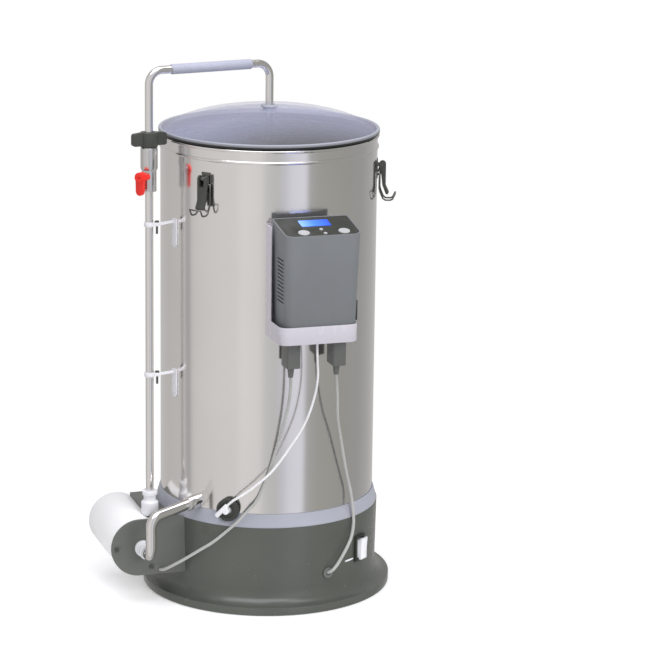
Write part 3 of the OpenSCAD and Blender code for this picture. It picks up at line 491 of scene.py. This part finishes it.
def area_light(name, place, target, size, power, colour=(1, 1, 1)):
    data = bpy.data.lights.new(name, "AREA")
    data.shape = "RECTANGLE"
    data.size, data.size_y = size
    data.energy = power
    data.color = colour
    lamp = bpy.data.objects.new(name, data)
    bpy.context.scene.collection.objects.link(lamp)
    lamp.location = place
    aim = Vector(target) - Vector(place)
    lamp.rotation_euler = aim.to_track_quat("-Z", "Y").to_euler()
    return lamp


WARM, PLAIN, COOL, OLIVE = (1, 0.975, 0.965), (1, 1, 1), (0.975, 0.975, 1.07), (1, 1, 0.94)
# The studio walls around the object: (degrees from the front towards +X, brightness, tint)
STUDIO_WALLS = [(-180, 0.55, WARM), (-150, 0.52, WARM), (-121, 0.56, WARM), (-116, 0.46, WARM),
                (-111, 0.38, PLAIN), (-106, 0.60, WARM), (-95, 0.65, WARM), (-70, 0.70, WARM),
                (-52, 0.71, WARM), (-44, 0.77, WARM), (-26, 0.74, WARM), (-18, 0.60, PLAIN),
                (-8, 0.56, PLAIN), (0, 0.62, COOL), (7, 0.74, COOL), (22, 0.79, COOL),
                (27, 0.42, PLAIN), (40, 0.37, OLIVE), (75, 0.345, OLIVE), (100, 0.35, PLAIN),
                (125, 0.43, PLAIN), (150, 0.55, WARM), (180, 0.55, WARM)]
AMBIENT = (0.50, 0.50, 0.51, 1)


def make_world():
    world = bpy.data.worlds.new("studio")
    bpy.context.scene.world = world
    world.use_nodes = True
    tree = world.node_tree
    tree.nodes.clear()

    def add(kind, **settings):
        node = tree.nodes.new(kind)
        for key, value in settings.items():
            setattr(node, key, value)
        return node

    direction = add("ShaderNodeTexCoord")
    split = add("ShaderNodeSeparateXYZ")
    tree.links.new(direction.outputs["Generated"], split.inputs["Vector"])
    back = add("ShaderNodeMath", operation="MULTIPLY")
    back.inputs[1].default_value = -1
    tree.links.new(split.outputs["Y"], back.inputs[0])
    angle = add("ShaderNodeMath", operation="ARCTAN2")
    tree.links.new(split.outputs["X"], angle.inputs[0])
    tree.links.new(back.outputs[0], angle.inputs[1])
    around = add("ShaderNodeMapRange")
    around.inputs["From Min"].default_value = -math.pi
    around.inputs["From Max"].default_value = math.pi
    tree.links.new(angle.outputs[0], around.inputs["Value"])
    ramp = add("ShaderNodeValToRGB")
    elements = ramp.color_ramp.elements
    while len(elements) < len(STUDIO_WALLS):
        elements.new(0.5)
    for element, (degrees, level, tint) in zip(elements, STUDIO_WALLS):
        element.position = (degrees + 180) / 360
        element.color = (*(level * part for part in tint), 1)
    tree.links.new(around.outputs["Result"], ramp.inputs["Fac"])
    walls = add("ShaderNodeBackground")
    tree.links.new(ramp.outputs["Color"], walls.inputs["Color"])
    backdrop = add("ShaderNodeBackground")
    backdrop.inputs["Color"].default_value = (1, 1, 1, 1)
    ambient = add("ShaderNodeBackground")
    ambient.inputs["Color"].default_value = AMBIENT
    seen = add("ShaderNodeLightPath")
    soft = add("ShaderNodeMixShader")
    tree.links.new(seen.outputs["Is Diffuse Ray"], soft.inputs["Fac"])
    tree.links.new(walls.outputs[0], soft.inputs[1])
    tree.links.new(ambient.outputs[0], soft.inputs[2])
    mix = add("ShaderNodeMixShader")
    tree.links.new(seen.outputs["Is Camera Ray"], mix.inputs["Fac"])
    tree.links.new(soft.outputs[0], mix.inputs[1])
    tree.links.new(backdrop.outputs[0], mix.inputs[2])
    out = add("ShaderNodeOutputWorld")
    tree.links.new(mix.outputs[0], out.inputs["Surface"])


make_floor()
make_world()
area_light("top_light", (-0.3, -0.6, 3.0), (0, 0, 0), (2.6, 2.6), 62, (0.95, 0.95, 1))
key_light = area_light("key_light", (0.9, -3.2, 1.7), (0, 0, 0.35), (1.5, 1.5), 46)
key_light.visible_glossy = False
bpy.context.scene.view_settings.view_transform = "Standard"
